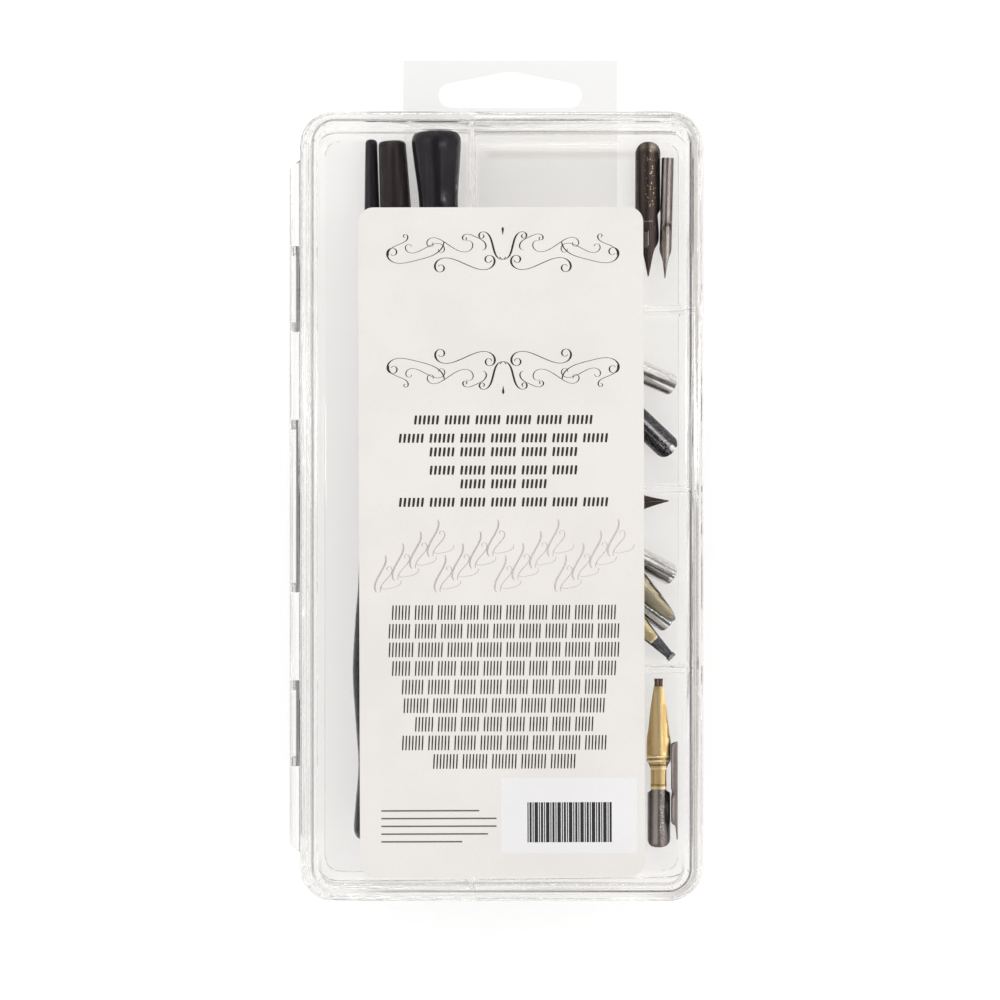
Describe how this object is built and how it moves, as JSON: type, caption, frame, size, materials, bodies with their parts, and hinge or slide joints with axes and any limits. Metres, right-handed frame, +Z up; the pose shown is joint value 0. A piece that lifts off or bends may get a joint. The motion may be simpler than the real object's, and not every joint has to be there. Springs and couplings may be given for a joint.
{
  "type": "calligraphy set box",
  "caption": "Clear hinged plastic case with a paper label and a film hang tab, holding dip-pen holders beside compartments of steel and brass nibs.",
  "frame": {"origin": "centre of the underside of the case, on the surface it lies on", "axes": "+Z up through the lid; +Y along the case towards the hang tab; the hinge is on the -X side"},
  "size_m": [0.0966, 0.1983, 0.0224],
  "materials": {
    "clear_case": "clear, moulded",
    "label_paper": "matt printed paper",
    "clear_film": "clear film",
    "black_holder": "glossy",
    "brown_holder": "satin",
    "clip_steel": "plain",
    "bright_steel": "bright, pressed texture",
    "blued_steel": "blued",
    "bronzed_steel": "bronzed, pressed texture",
    "grey_steel": "grey, satin",
    "bright_brass": "rolled",
    "dull_brass": "dulled"
  },
  "bodies": {
    "base": {"base_tray": "clear_case", "hang_tab": "clear_film", "broad_nib_1": "bright_steel", "broad_nib_1_reservoir": "bright_brass", "broad_nib_2": "bright_steel", "broad_nib_2_reservoir": "bright_brass", "broad_nib_3": "bright_steel", "broad_nib_3_reservoir": "bright_brass", "broad_nib_4": "grey_steel", "broad_nib_4_reservoir": "dull_brass", "broad_nib_5": "blued_steel", "broad_nib_5_reservoir": "bright_brass", "broad_nib_6": "bright_steel", "broad_nib_6_reservoir": "bright_brass", "globe_nib": "bronzed_steel", "crow_quill_nib": "grey_steel", "imperial_nib": "blued_steel", "drawing_nib": "bronzed_steel", "school_nib": "grey_steel", "mapping_nib": "grey_steel"},
    "lid": {"lid": "clear_case", "label": "label_paper"},
    "holder_a": {"holder_a": "black_holder", "holder_a_clip": "clip_steel"},
    "holder_b": {"holder_b": "brown_holder", "holder_b_clip": "clip_steel"},
    "holder_c": {"holder_c": "black_holder", "holder_c_clip": "clip_steel"}
  },
  "joints": [
    {"name": "lid_hinge", "type": "hinge", "parent": "base", "child": "lid", "pos_m": [-0.04845, 0, 0.016], "axis": [0, -1, 0], "range_deg": [0, 180]},
    {"name": "holder_a_slide", "type": "slide", "parent": "base", "child": "holder_a", "axis": [0, 1, 0], "range_m": [-0.01, 0.0002]},
    {"name": "holder_b_slide", "type": "slide", "parent": "base", "child": "holder_b", "axis": [0, 1, 0], "range_m": [-0.008, 0.0015]},
    {"name": "holder_c_slide", "type": "slide", "parent": "base", "child": "holder_c", "axis": [0, 1, 0], "range_m": [-0.003, 0.0002]}
  ]
}
